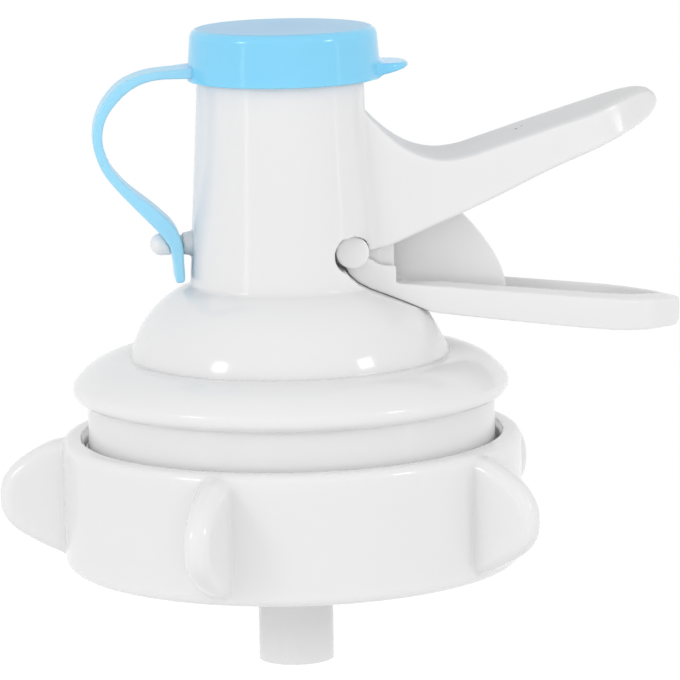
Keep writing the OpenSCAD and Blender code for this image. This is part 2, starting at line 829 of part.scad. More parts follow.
module return_spring() {
  steps = curl_rings * spring_turns;
  points = [for (i = [0:steps], k = [0:tube_sides - 1])
    let (a = 360 * spring_turns * i / steps, b = 360 * k / tube_sides, c = wire_at(i / steps))
    c + wire_d / 2 * [cos(b) * cos(a), cos(b) * sin(a), sin(b)]];
  sides = [for (i = [0:steps - 1], k = [0:tube_sides - 1])
    let (p = i * tube_sides + k, q = i * tube_sides + (k + 1) % tube_sides)
    [[p, p + tube_sides, q], [q, p + tube_sides, q + tube_sides]]];
  color("silver")
    polyhedron(points, concat(
      [for (s = sides, f = s) f],
      [[for (k = [0:tube_sides - 1]) k]],
      [[for (k = [tube_sides - 1:-1:0]) steps * tube_sides + k]]
    ));
}

// Least gap between points one turn apart on the wire
spring_gap = min([for (i = [0:curl_rings * (spring_turns - 1)])
  norm(wire_at((i + curl_rings) / (curl_rings * spring_turns)) - wire_at(i / (curl_rings * spring_turns))) - wire_d]);
echo(spring_gap = spring_gap);

module spring_washer() {
  color("silver")
    ring_solid(stem_r + free_gap, spring_r + 1.2, floor_z, floor_z + spring_washer_h);
}

module vent_seal() {
  color("dimgray")
    o_ring(stem_r + oring_d / 2, floor_z - oring_d / 2, oring_d);
}

// ---------------------------------------------------------------- cage

screw_r = cage_r + cage_wall + 2.6;

module screw_places() {
  for (a = [30, 150, 270])
    rotate([0, 0, a])
      translate([screw_r, 0, 0])
        children();
}

module valve_cage() {
  ribs = 6;
  lug_r = 2.4;
  color("ghostwhite")
    difference() {
      union() {
        // Top flange, ribs and floor
        ring_solid(cage_r, cage_r + cage_wall + 1, plate_z - lug_h, plate_z);
        intersection() {
          ring_solid(cage_r, cage_r + cage_wall, floor_z - floor_h, plate_z - 1);
          for (i = [0:ribs - 1])
            rotate([0, 0, 360 / ribs * i])
              translate([cage_r - 2, -1.6, floor_z - floor_h])
                cube([6, 3.2, 40]);
        }
        difference() {
          ring_solid(stub_bore_r, cage_r + cage_wall, floor_z - floor_h, floor_z);
          for (i = [0:ribs - 1])
            rotate([0, 0, 360 / ribs * (i + 0.5)])
              translate([cage_r - 2.9, 0, floor_z - floor_h - over])
                cylinder(r = 2.5, h = floor_h + 2 * over);
        }
        screw_places()
          translate([0, 0, plate_z - lug_h])
            cylinder(r = lug_r, h = lug_h);
        // Stub tube with the stem's guide in its head
        translate([0, 0, stub_z])
          cylinder(r = stub_r, h = floor_z - stub_z);
      }
      translate([0, 0, stub_z - over])
        cylinder(r = stub_bore_r, h = floor_z - guide_h - stub_z + over);
      translate([0, 0, stub_z])
        cylinder(r = stem_r + run_gap, h = floor_z - stub_z + over);
      translate([0, 0, floor_z - oring_d])
        cylinder(r = gland_r, h = oring_d + over);
      translate([0, 0, stub_z - 0.01])
        cylinder(r1 = stub_bore_r + 0.5, r2 = stub_bore_r, h = 0.5);
      screw_places()
        translate([0, 0, plate_z - lug_h - over])
          cylinder(r = screw_shaft_r + 0.25, h = lug_h + 2 * over);
    }
}

module cage_screws() {
  color("silver")
    screw_places() {
      translate([0, 0, plate_z - lug_h])
        cylinder(r = screw_shaft_r, h = screw_grip);
      translate([0, 0, plate_z - lug_h - screw_head_h])
        cylinder(r = screw_head_r, h = screw_head_h);
    }
}

housing();
squeeze_lever();
spout_cap();
cap_strap();
cap_seal();
clamp_ring();
grip_collar();
neck_gasket();
seat_plate();
plate_seal();
valve_disc();
disc_washer();
disc_clip();
valve_stem();
stem_seal();
gland_bush();
return_spring();
spring_washer();
vent_seal();
valve_cage();
cage_screws();
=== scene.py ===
"""Looks of the squeeze-lever pouring head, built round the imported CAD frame.

The main mouldings are distance fields turned into meshes, so that every edge and corner is rounded
as a moulding's is. A field is below 0 inside the material. The shape functions and their outlines
are in millimetres; meshes, materials, lamps and the camera are in metres.
"""

import math

import bpy
import numpy as np
from mathutils import Matrix, Vector


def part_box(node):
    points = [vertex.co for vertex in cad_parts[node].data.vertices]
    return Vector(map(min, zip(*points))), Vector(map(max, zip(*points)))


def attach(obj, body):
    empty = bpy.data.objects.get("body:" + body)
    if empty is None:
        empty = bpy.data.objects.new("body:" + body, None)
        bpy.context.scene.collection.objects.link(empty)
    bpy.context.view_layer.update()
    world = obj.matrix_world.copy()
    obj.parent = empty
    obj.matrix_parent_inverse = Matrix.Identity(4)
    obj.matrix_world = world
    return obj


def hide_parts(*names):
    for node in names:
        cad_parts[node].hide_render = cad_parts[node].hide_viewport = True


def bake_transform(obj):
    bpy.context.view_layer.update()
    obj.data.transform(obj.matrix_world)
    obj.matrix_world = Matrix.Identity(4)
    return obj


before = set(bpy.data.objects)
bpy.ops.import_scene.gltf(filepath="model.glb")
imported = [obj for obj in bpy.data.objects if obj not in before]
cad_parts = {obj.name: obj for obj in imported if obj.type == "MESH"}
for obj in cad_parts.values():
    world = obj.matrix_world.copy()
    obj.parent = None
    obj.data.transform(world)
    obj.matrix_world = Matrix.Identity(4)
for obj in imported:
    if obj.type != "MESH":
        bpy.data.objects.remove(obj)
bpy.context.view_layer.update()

GRAIN = 1.0
MM_PER_M = 1000
F = np.float32

# ---------------------------------------------------------------- sizes shared with the CAD part

SKIRT_IR, SKIRT_R, THREAD_R, PITCH = 28.85, 30.15, 30.7, 3.0
FLANGE_Z, DOME_Z, TOWER_Z, CAP_Z, RIM_Z = 4.2, 10.4, 21.0, 51.4, 56.8
DOME_R, FOOT_R, TOP_R, MOUTH_R = 23.6, 14.5, 12.8, 10.4
PIVOT_X, PIVOT_Z = 8.8, 26.4
CHEEK_OUT, CHEEK_IN, CHEEK_X = 5.7, 4.2, 14.3
HANDLE_HW, LEVER_HW, ARM_IN = 7.7, 7.4, 5.9
PEG_Z = 27.2
CAP_R, CAP_TOP = TOP_R + 0.05 + 1.4, 58.8
RING_R, RING_TOP, RING_BOTTOM, RING_BORE = 34.0, -1.4, -20.5, 30.8

# Gaps round the lever's knuckles and arms, narrower than the CAD part's running clearance
KNUCKLE_R, KNUCKLE_SEAT, KNUCKLE_GAP, ARM_GAP = 2.4, 2.47, 0.42, 0.08

# ---------------------------------------------------------------- outlines


def circle_arc(c, r, a0, a1, step=2.0):
    """Points every step degrees on a circle of radius r about c, from a0 to a1 degrees."""
    n = max(2, int(abs(a1 - a0) / step) + 1)
    a = np.radians(np.linspace(a0, a1, n))
    return [(c[0] + r * math.cos(t), c[1] + r * math.sin(t)) for t in a]


def bulge(p, q, r, step=2.0):
    """Arc from p to q, bulging to the left of the way from p to q."""
    px, pz = p
    dx, dz = q[0] - px, q[1] - pz
    length = math.hypot(dx, dz)
    h = math.sqrt(max(0.0, r * r - length * length / 4))
    c = ((px + q[0]) / 2 + h * dz / length, (pz + q[1]) / 2 - h * dx / length)
    a0 = math.degrees(math.atan2(pz - c[1], px - c[0]))
    a1 = math.degrees(math.atan2(q[1] - c[1], q[0] - c[0]))
    if a1 > a0:
        a1 -= 360
    return circle_arc(c, r, a0, a1, step)


def rounded(points, step=6.0):
    """Closed outline from (x, z, corner radius) points."""
    out = []
    n = len(points)
    for i in range(n):
        x, z, r = points[i]
        if r <= 0:
            out.append((x, z))
            continue
        a = np.array(points[i - 1][:2], float) - (x, z)
        b = np.array(points[(i + 1) % n][:2], float) - (x, z)
        la, lb = np.linalg.norm(a), np.linalg.norm(b)
        a, b = a / la, b / lb
        half = math.acos(max(-1, min(1, float(a @ b)))) / 2
        t = min(r / math.tan(half), 0.48 * la, 0.48 * lb)
        rr = t * math.tan(half)
        c = np.array((x, z)) + (a + b) / np.linalg.norm(a + b) * rr / math.sin(half)
        p, q = np.array((x, z)) + a * t - c, np.array((x, z)) + b * t - c
        a0, a1 = math.atan2(p[1], p[0]), math.atan2(q[1], q[0])
        d = (a1 - a0 + math.pi) % (2 * math.pi) - math.pi
        k = max(2, int(math.degrees(abs(d)) / step) + 1)
        turns = [a0 + d * j / k for j in range(k + 1)]
        out += [(c[0] + rr * math.cos(t), c[1] + rr * math.sin(t)) for t in turns]
    return out


def smooth_curve(points, n=5):
    """Catmull-Rom curve with n steps a span, through points with any number of coordinates."""
    p = np.array(points, float)
    out = []
    for i in range(len(p) - 1):
        a, b, c, d = p[max(i - 1, 0)], p[i], p[i + 1], p[min(i + 2, len(p) - 1)]
        square, cube = 2 * a - 5 * b + 4 * c - d, 3 * b - a - 3 * c + d
        for k in range(n):
            t = k / n
            out.append((0.5 * (2 * b + (c - a) * t + square * t**2 + cube * t**3)).tolist())
    out.append(p[-1].tolist())
    return out


def mirrored_plan(points, start=-12.0):
    """Plan of a bar, from its far end round its tip, given as one side's (x, y) points."""
    side = [(start, points[0][1])] + smooth_curve(points, 6)
    return [(x, -y) for x, y in side] + side[-2::-1]


class Outline:
    """Signed distance to a closed 2D outline, kept as a fine table."""

    def __init__(self, points, margin=2.5, h=0.1):
        v = np.array(points, float)
        self.lo = v.min(0) - margin
        self.hi = v.max(0) + margin
        self.h = h
        n = np.ceil((self.hi - self.lo) / h).astype(int) + 1
        across, upward = (self.lo[k] + h * np.arange(n[k]) for k in range(2))
        gx, gz = np.meshgrid(across, upward, indexing="ij")
        d = np.full(gx.shape, 1e9)
        outside = np.ones(gx.shape, bool)
        for a, b in zip(v, np.roll(v, -1, 0)):
            e = b - a
            if e @ e < 1e-12:
                continue
            wx, wz = gx - a[0], gz - a[1]
            t = np.clip((wx * e[0] + wz * e[1]) / (e @ e), 0, 1)
            d = np.minimum(d, (wx - e[0] * t) ** 2 + (wz - e[1] * t) ** 2)
            c1, c2, c3 = gz >= a[1], gz < b[1], e[0] * wz > e[1] * wx
            outside ^= (c1 & c2 & c3) | ~(c1 | c2 | c3)
        self.t = (np.sqrt(d) * np.where(outside, 1, -1)).astype(F)

    def __call__(self, x, z):
        u = (x - self.lo[0]) / self.h
        w = (z - self.lo[1]) / self.h
        uc = np.clip(u, 0, self.t.shape[0] - 1.001)
        wc = np.clip(w, 0, self.t.shape[1] - 1.001)
        i, k = uc.astype(np.int32), wc.astype(np.int32)
        fu, fw = (uc - i).astype(F), (wc - k).astype(F)
        t = self.t
        near = t[i, k] * (1 - fu) + t[i + 1, k] * fu
        far = t[i, k + 1] * (1 - fu) + t[i + 1, k + 1] * fu
        d = near * (1 - fw) + far * fw
        away = np.hypot(u - uc, w - wc) * self.h
        return np.where(away > 0, np.maximum(d, 0) + away, d).astype(F)


# ---------------------------------------------------------------- distance fields


def smin(a, b, k):
    """Union of two fields, with a fillet of size k."""
    h = np.clip(0.5 + 0.5 * (b - a) / k, 0, 1)
    return b * (1 - h) + a * h - k * h * (1 - h)


def smax(a, b, k):
    """Where both fields are inside, with edges eased by k."""
    return -smin(-a, -b, k)


def both(a, b, r):
    """Where both fields are inside, with convex edges of radius r."""
    a, b = a + r, b + r
    return np.minimum(np.maximum(a, b), 0) + np.hypot(np.maximum(a, 0), np.maximum(b, 0)) - r


def between(v, low, high):
    """The slab where v lies between low and high."""
    return np.maximum(low - v, v - high)


def box3(x, y, z, lo, hi, r=0.0):
    """Box from its low to its high corner."""
    q = [np.abs(c - (l + h) / 2) - (h - l) / 2 + r for c, l, h in zip((x, y, z), lo, hi)]
    outside = np.sqrt(sum(np.maximum(c, 0) ** 2 for c in q))
    return outside + np.minimum(np.maximum(np.maximum(q[0], q[1]), q[2]), 0) - r


def bar_plan(x, y, x1, hw, r):
    """Plan of a bar that runs in from far off and ends at x1 with corners of radius r."""
    qx, qy = x - (x1 - r), np.abs(y) - (hw - r)
    outside = np.hypot(np.maximum(qx, 0), np.maximum(qy, 0))
    return outside + np.minimum(np.maximum(qx, qy), 0) - r


def from_turn(x, y, z, shift=0.0):
    """Height from a point to the nearest turn of the thread, whose turns are PITCH apart."""
    turn = np.arctan2(y, x) / (2 * math.pi) * PITCH
    return np.abs((z - turn + 100 * PITCH + shift) % PITCH - PITCH / 2)


# ---------------------------------------------------------------- meshes

BLOCK = 6  # grid points along a side of the cubes that a field is first tried in


def make_mesh(name, v, faces, normals=None):
    """Smooth mesh object from vertices in metres and lists of corner numbers."""
    m = bpy.data.meshes.new(name)
    m.from_pydata(v.tolist(), [], faces)
    m.polygons.foreach_set("use_smooth", np.ones(len(faces), bool))
    if normals is not None:
        m.normals_split_custom_set_from_vertices(normals.tolist())
    m.update()
    o = bpy.data.objects.new(name, m)
    bpy.context.scene.collection.objects.link(o)
    return o


def sampled(field, lo, h, blocks):
    """Field on a grid of cubes of BLOCK points a side, worked out in full only near the surface."""
    middle = [lo[a] + h * (np.arange(blocks[a]) * BLOCK + (BLOCK - 1) / 2) for a in range(3)]
    c = [v.ravel().astype(F) for v in np.meshgrid(*middle, indexing="ij")]
    coarse = field(*c).reshape(blocks)
    # A cube's half diagonal, with room for fields that are steeper than 1
    near = np.abs(coarse) < (BLOCK / 2 + 1) * h * 1.7320508 * 1.25
    grid = np.sign(coarse).astype(F) * 9
    for axis in range(3):
        grid = np.repeat(grid, BLOCK, axis)
    ids = np.argwhere(near)
    o = np.stack(np.meshgrid(*[np.arange(BLOCK)] * 3, indexing="ij"), -1).reshape(-1, 3)
    batch = 8000
    for s in range(0, len(ids), batch):
        at = (ids[s : s + batch, None] * BLOCK + o[None]).reshape(-1, 3)
        p = (lo + h * at).astype(F)
        grid[at[:, 0], at[:, 1], at[:, 2]] = field(p[:, 0], p[:, 1], p[:, 2])
    return grid


def surface_net(grid):
    """Surface where a grid of values changes sign, with one vertex in each cell that it crosses.

    Gives each vertex's sum and count of crossings on its cell's edges, in grid steps, and quads.
    """
    n = np.array(grid.shape)
    inside = grid < 0
    cells = np.zeros(n - 1, bool)
    edges = []
    for axis in range(3):
        a = [slice(None)] * 3
        b = [slice(None)] * 3
        a[axis], b[axis] = slice(0, -1), slice(1, None)
        e = np.argwhere(inside[tuple(a)] != inside[tuple(b)])
        u, w = (axis + 1) % 3, (axis + 2) % 3
        e = e[(e[:, u] > 0) & (e[:, w] > 0) & (e[:, u] < n[u] - 1) & (e[:, w] < n[w] - 1)]
        four = []
        for du, dw in ((-1, -1), (0, -1), (0, 0), (-1, 0)):
            c = e.copy()
            c[:, u] += du
            c[:, w] += dw
            four.append(c)
            cells[c[:, 0], c[:, 1], c[:, 2]] = True
        f0 = grid[e[:, 0], e[:, 1], e[:, 2]]
        far = e.copy()
        far[:, axis] += 1
        f1 = grid[far[:, 0], far[:, 1], far[:, 2]]
        p = e.astype(float)
        p[:, axis] += f0 / (f0 - f1)
        edges.append((four, p, f0 < 0))
    where = np.argwhere(cells)
    number = np.full(n - 1, -1, np.int32)
    number[where[:, 0], where[:, 1], where[:, 2]] = np.arange(len(where))
    total = np.zeros((len(where), 3))
    count = np.zeros(len(where))
    faces = []
    for four, p, out in edges:
        corners = [number[c[:, 0], c[:, 1], c[:, 2]] for c in four]
        for i in corners:
            count += np.bincount(i, minlength=len(where))
            for k in range(3):
                total[:, k] += np.bincount(i, weights=p[:, k], minlength=len(where))
        q = np.stack(corners, 1)
        faces.append(np.where(out[:, None], q, q[:, ::-1]))
    return total, count, np.concatenate(faces)


def field_mesh(name, field, lo, hi, h):
    """Mesh of the surface where field is 0, with the field's own normals."""
    h = h * GRAIN
    lo, hi = np.array(lo, float), np.array(hi, float)
    blocks = np.ceil(((hi - lo) / h + 1) / BLOCK).astype(int)
    total, count, faces = surface_net(sampled(field, lo, h, blocks))
    v = lo + h * total / count[:, None]

    def at(q):
        return field(q[:, 0].astype(F), q[:, 1].astype(F), q[:, 2].astype(F)).astype(float)

    def slope(q, e):
        steps = e * np.eye(3)
        return np.stack([at(q + s) - at(q - s) for s in steps], 1) / (2 * e)

    # Each point walks down the field's slope to the surface, and never far from its cell
    start = v.copy()
    for _ in range(3):
        g = slope(v, 0.3 * h)
        size = np.maximum((g * g).sum(1), 0.09)
        v = v - np.clip(at(v) / size, -0.35 * h, 0.35 * h)[:, None] * g
    moved = v - start
    length = np.linalg.norm(moved, axis=1, keepdims=True)
    v = start + moved * np.minimum(1, 0.8 * h / np.maximum(length, 1e-9))
    g = slope(v, 0.45 * h)
    g /= np.maximum(np.linalg.norm(g, axis=1, keepdims=True), 1e-9)
    return make_mesh(name, v / MM_PER_M, faces.tolist(), g)


# ---------------------------------------------------------------- housing

# Lower edge of the lever's arm as (x, z) from the pivot; it ends at the heel of the lever's floor
ARM = [(-0.4, -3.5), (0.9, -4.7), (2.6, -5.7), (4.6, -6.5), (7.0, -7.5), (11.6, -9.5)]
FLOOR_SLOPE = math.radians(7.9)


def arm_edge(gap):
    """ARM with its start on the knuckle and a run of floor after it, moved out by gap."""
    a = math.radians(-140)
    run = 6
    knuckle = (KNUCKLE_R * math.cos(a), KNUCKLE_R * math.sin(a))
    floor = (ARM[-1][0] + run * math.cos(FLOOR_SLOPE), ARM[-1][1] - run * math.sin(FLOOR_SLOPE))
    p = np.array([knuckle] + ARM + [floor])
    out = []
    for i in range(len(p)):
        if i == 0:
            normal = np.array((math.cos(a), math.sin(a)))
        else:
            d = p[min(i + 1, len(p) - 1)] - p[i - 1]
            normal = np.array((d[1], -d[0])) / np.linalg.norm(d)
        out.append(tuple(p[i] + gap * normal))
    return out


# Profiles turned about the Z axis, as (radius, height)
SKIRT_BOTTOM, SKIRT_CHAMFER = -12, 0.3
EDGE_R = 1.7
edge = (30.5, FLANGE_Z + EDGE_R)
edge_end = math.radians(24)
crown_end = (edge[0] + EDGE_R * math.cos(edge_end), edge[1] + EDGE_R * math.sin(edge_end))
dome = bulge((FOOT_R, TOWER_Z), (DOME_R, DOME_Z), 14, 1.5)
lower_body = Outline(
    [
        (0, SKIRT_BOTTOM),
        (SKIRT_R - SKIRT_CHAMFER, SKIRT_BOTTOM),
        (SKIRT_R, SKIRT_BOTTOM + SKIRT_CHAMFER),
        (SKIRT_R, FLANGE_Z),
    ]
    + circle_arc(edge, EDGE_R, -90, 22)
    + bulge((DOME_R, DOME_Z - 0.05), crown_end, 8.8)[::-1]
    + dome[::-1]
    + [(0, TOWER_Z)],
    margin=2.0,
)
tower_body = Outline(
    [
        (0, 15),
        (14.85, 15),
        (TOP_R, CAP_Z),
        (12.7, CAP_Z + 0.15),
        (12.7, RIM_Z - 0.5),
        (12.2, RIM_Z),
        (0, RIM_Z),
    ],
    margin=2.0,
)
water = Outline(
    [(0, -14), (SKIRT_IR, -14), (SKIRT_IR, 5.0), (25.0, 5.0), (25.0, 7.6)]
    + bulge((12.5, 19.0), (21.6, 9.4), 12, 2.0)[::-1]
    + [
        (12.5, 21.0),
        (MOUTH_R, 47.4),
        (MOUTH_R, RIM_Z - 0.4),
        (MOUTH_R + 0.4, RIM_Z),
        (MOUTH_R + 0.4, RIM_Z + 2),
        (0, RIM_Z + 2),
    ],
    margin=2.0,
)

# Side views, as (x, z)
CAP_FLAT_X = 11.0
handle_top = Outline(
    [(0, 0), (0, CAP_Z), (10.95, CAP_Z), (CAP_FLAT_X, 47.0)]
    + smooth_curve(
        [
            (11.5, 46.35), (12.5, 45.3), (13.7, 44.05), (15.0, 42.95), (16.9, 41.7),
            (18.8, 40.85), (20.9, 40.35), (22.9, 40.22), (24.6, 40.36), (26.7, 40.8),
            (31, 42.15), (38, 44.33), (45, 46.45), (50, 47.9), (52.2, 48.3),
        ]
    )
    + [(53.6, 48.2), (54.7, 47.4), (55.3, 46.3), (55.5, 45.2), (55.5, 0)]
)
handle_under = Outline(
    [(-2, 26.5)]
    + smooth_curve(
        [
            (12.2, 26.55), (14.3, 26.9), (16.8, 27.9), (20.5, 29.5), (25, 31.35), (30, 33.55),
            (38, 37.3), (45.3, 40.4), (50.3, 42.65), (52.8, 43.85), (54.8, 45.5), (55.7, 48),
        ]
    )
    + [(55.6, 70), (-2, 70)]
)
channel = Outline(
    rounded(
        [
            (CHEEK_X, 20.5, 0), (CHEEK_X, 39.9, 1.0), (17.8, 38.7, 1.5), (24.2, 38.6, 2.0),
            (45.5, 44.1, 1.2), (45.5, 35.0, 0), (24.2, 20.5, 0),
        ]
    )
)
recess_edge = arm_edge(ARM_GAP)
recess = Outline([(0, 0)] + recess_edge + [(recess_edge[-1][0], 0.1), (0, 0.1)])

# Plan of the handle's tip
handle_plan = Outline(
    mirrored_plan(
        [(41, 7.7), (44.6, 7.25), (47.3, 6.4), (50, 5.0), (52.4, 3.25), (54.2, 1.6), (55.3, 0)]
    )
)

# Strap's middle line from the cap to its tail, as (x, z from STRAP_Z, thickness where 1 is usual)
STRAP_Z, STRAP_HALF = 53.0, 0.7
STRAP = [
    (-13.3, -0.35, 1.1), (-14.3, -0.4, 1.1), (-16, -0.5, 1), (-18.06, -0.59, 0.9),
    (-20.04, -0.85, 0.92), (-21.96, -1.47, 1), (-23.74, -2.47, 1.15), (-25.32, -3.98, 1.15),
    (-26.58, -5.74, 1.05), (-27.34, -7.62, 1), (-27.61, -9.82, 1), (-27.29, -11.89, 1),
    (-26.28, -14.4, 0.98), (-24.44, -16.8, 1), (-22.59, -18.66, 1.2), (-20.87, -20.25, 1.45),
    (-19.16, -21.91, 1.6), (-17.59, -23.67, 1.65), (-16.56, -25.78, 1.35), (-16.2, -28.6, 1.05),
    (-16.1, -30.7, 1), (-16.08, -31.2, 0.5),
]


def strap_outline():
    """Side view of the strap, half its thickness to each side of its middle line."""
    p = np.array(smooth_curve([(a, b + STRAP_Z, STRAP_HALF * t) for a, b, t in STRAP], 6))
    d = np.gradient(p[:, :2], axis=0)
    normal = np.stack([d[:, 1], -d[:, 0]], 1) / np.linalg.norm(d, axis=1)[:, None]
    a, b = p[:, :2] + normal * p[:, 2:], p[:, :2] - normal * p[:, 2:]
    return np.concatenate([a, b[::-1]]).tolist()


strap_side = Outline(strap_outline(), margin=2.0, h=0.05)

HANDLE_CROWN, TIP_DRAFT = 0.75, 0.24
PEG_R, PEG_HEAD_R, PEG_ROOT = 1.3, 1.65, -11
CREST_HALF, FLANK, THREAD_EDGE = 0.35, 0.5, 0.12
STEM_HOLE_R, GLAND_R, TRUNNION_HOLE_R = 2.05, 3.6, 1.65
CHANNEL_WALL = 1.5

# Flat on the dome below the lever: its normal in x and z, its depth and its lowest and highest z
FACET_X, FACET_Z, FACET_DEPTH, FACET_LOW, FACET_HIGH = 0.881, 0.473, 0.6, 10.9, 20.5
facet = max(FACET_X * x + FACET_Z * z for x, z in dome) - FACET_DEPTH


def tower_and_dome(x, y, z):
    """Solid tower, dome, flange and skirt, with the two flats that they carry."""
    r = np.hypot(x, y)
    d = smin(lower_body(r, z), tower_body(r, z), 0.5)
    beyond = facet - FACET_X * x - FACET_Z * z
    d = smax(d, -np.maximum(beyond, between(z, FACET_LOW, FACET_HIGH)), 0.15)
    # Flat on the tower under the cap, above the handle's root
    above = both(CAP_FLAT_X - x, z - CAP_Z + 0.05, 0.05)
    return np.maximum(d, -both(above, both(34 - z, np.abs(y) - HANDLE_HW, 0.05), 0.05))


def handle(x, y, z):
    """Handle, crowned across its top and with draft at its tip."""
    crown = HANDLE_CROWN * (np.abs(y) / HANDLE_HW) ** 2 * np.clip((x - 14) / 8, 0, 1)
    d = both(handle_top(x, z + crown), handle_under(x, z), 0.3)
    draft = TIP_DRAFT * (z - 46.5) * np.clip((x - 41) / 8, 0, 1)
    return both(d, handle_plan(x, y) + draft, 0.5)


def with_peg(d, x, y, z):
    """Adds the strap's peg: a shaft, a head outside the strap and a collar behind it."""
    shaft_end, collar_end, head_root, head_end = -18.3, -15.5, -17.0, -18.65
    rho = np.hypot(y, z - PEG_Z)
    shaft = np.maximum(rho - PEG_R, between(x, shaft_end, PEG_ROOT))
    taper = 0.2 * np.clip(x + 15.2, 0, 3)
    collar = np.maximum(rho - PEG_HEAD_R - taper, between(x, collar_end, PEG_ROOT))
    dome_end = np.hypot(np.maximum(head_end - x, 0), rho) - PEG_HEAD_R
    head = smax(np.maximum(dome_end, x - head_root), 0.1 - strap_side(x, z), 0.2)
    return smin(np.minimum(d, np.minimum(head, shaft)), collar, 0.3)


def with_thread(d, x, y, z):
    """Adds the thread on the skirt."""
    r = np.hypot(x, y)
    flanks = from_turn(x, y, z) - CREST_HALF - FLANK * (THREAD_R - r)
    ridge = both(r - THREAD_R, flanks, THREAD_EDGE)
    ridge = np.maximum(ridge, between(z, -10.8, -3.0))
    return np.minimum(d, np.maximum(ridge, SKIRT_R - 0.4 - r))


def lever_core(x, y, z):
    """Solid block that the lever's seat and pocket are cut from, left standing in the water way."""
    core = box3(x, y, z, (-5.7, -CHEEK_OUT, 13), (CHEEK_X, CHEEK_OUT, 35), 0.2)
    wide = box3(x, y, z, (4.9, -9.2, 14.5), (22, 9.2, 31))
    wall = box3(x, y, z, (4.9, -13, 19), (CHEEK_X, 13, 31))
    return np.minimum(np.minimum(core, wide), wall)


def housing(x, y, z):
    """The whole white moulding, hollow, with the lever's seat cut into it."""
    r, ay = np.hypot(x, y), np.abs(y)
    px, pz = x - PIVOT_X, z - PIVOT_Z
    rho = np.hypot(px, pz)
    d = smin(tower_and_dome(x, y, z), handle(x, y, z), 0.8)
    d = with_peg(d, x, y, z)
    d = with_thread(d, x, y, z)
    d = np.maximum(d, -np.maximum(water(r, z), -lever_core(x, y, z)))
    # Recess for the lever's arms. The knuckle sits high in its seat, so the gap is widest low on
    # its far side
    seat = rho - KNUCKLE_SEAT
    loose = np.hypot(px + 0.08, pz + 0.1) - KNUCKLE_R - KNUCKLE_GAP
    loose = np.maximum(loose, 0.9 * pz + 0.9 * px - 0.8)
    cut = np.minimum(np.minimum(recess(px, pz), seat), loose)
    cheeks = box3(x, y, z, (-1, -CHEEK_OUT, 13), (CHEEK_X, CHEEK_OUT, 30.4))
    d = smax(d, -smax(cut, -cheeks, 0.25), 0.1)
    d = np.maximum(d, -np.maximum(seat, CHEEK_OUT - ay))
    # Pocket between the cheeks, the handle's channel and the cheeks' outer edge
    pocket = box3(x, y, z, (-4.2, -CHEEK_IN, 17.4), (CHEEK_X + 2, CHEEK_IN, 33.2), 0.3)
    d = np.maximum(d, -pocket)
    d = smax(d, -both(channel(x, z), ay - HANDLE_HW + CHANNEL_WALL, 0.3), 0.3)
    d = np.minimum(d, box3(x, ay, z, (9, CHEEK_IN, 22.7), (15.2, CHEEK_OUT - 0.05, 30), 0.25))
    # Holes for the stem, its gland and the lever's trunnions
    d = np.maximum(d, -np.maximum(r - STEM_HOLE_R, np.abs(z - 17) - 5))
    d = np.maximum(d, -np.maximum(r - GLAND_R, np.abs(z - 19) - 4.5))
    return np.maximum(d, -np.maximum(rho - TRUNNION_HOLE_R, ay - CHEEK_OUT - 0.5))


# ---------------------------------------------------------------- lever, as (x, z) from its pivot

RIM_W, RIM_RISE, FLOOR_IN = 2.9, 0.55, -8.0
KNUCKLE_OUT, TRUNNION_R = 9.6, 1.6
FAN_HALF = 0.9
FINGER_X, FINGER_HW, FINGER_R = -8.8, 2.4, 1.7


def rim_at(u):
    """Height of the lever's rim."""
    return -5 - math.tan(math.radians(6.1)) * (u - 5.5)


arm_low = arm_edge(0)
lever_side = Outline(
    [(0.8 * arm_low[0][0], 0.8 * arm_low[0][1])]
    + arm_low[1:-1]
    + smooth_curve(
        [
            (11.9, -9.58), (20, -10.75), (30, -12.1), (38, -13.05), (43.4, -13.45), (46.8, -13.5),
        ]
    )
    + circle_arc((48.3, -12.4), 1.2, -80, 0, 12)
    + [(49.6, -11), (49.6, -9.9)]
    + circle_arc((49.1, -10.1), 0.5, 0, 85, 15)
    + smooth_curve([(u, rim_at(u)) for u in (40, 30, 14)] + [(6.9, -5.09)])
    + [(6.5, -4.9), (6.5, -2.6), (6.25, -2.4)]
    + smooth_curve([(5.8, -2.4), (5, -2.4), (4, -2.1), (3.1, -1.6), (2.2, -1.1)])
    + [(0, 0)]
)
lever_tray = Outline(
    rounded(
        [
            (7.3, 3, 0),
            (7.3, rim_at(5.8) - 0.2, 0.2),
            (12.2, FLOOR_IN, 0.8),
            (37.9, FLOOR_IN - math.tan(FLOOR_SLOPE) * 26.3 + 0.1, 2),
            (45.3, rim_at(47.9) - 1.6, 1.0),
            (47.9, rim_at(47.9) - 0.8, 0.4),
            (47.9, 3, 0),
        ]
    )
)
lever_plan = Outline(
    mirrored_plan(
        [
            (34, LEVER_HW), (38.5, 7.25), (41.5, 6.6), (44.2, 5.4), (46.6, 3.75), (48.5, 1.9),
            (49.5, 0),
        ]
    )
)
lever_fan = Outline(
    [(FINGER_X, FINGER_R), (FINGER_X, -FINGER_R), (0.5, -FINGER_R)]
    + [(CHEEK_X - PIVOT_X + 0.5, -6.9)]
    + [(11.6, -9.1), (23.3, -10.5)]
    + smooth_curve(
        [(23.4, -7.4), (23.2, -5.6), (22.2, -2.9), (20.6, -0.2), (18.8, 2.2), (16.9, 4.3)]
    )
    + [(16.3, 4.8), (15.6, 5.0), (10, 4.0), (5, 3.1), (1.5, 1.7)]
)


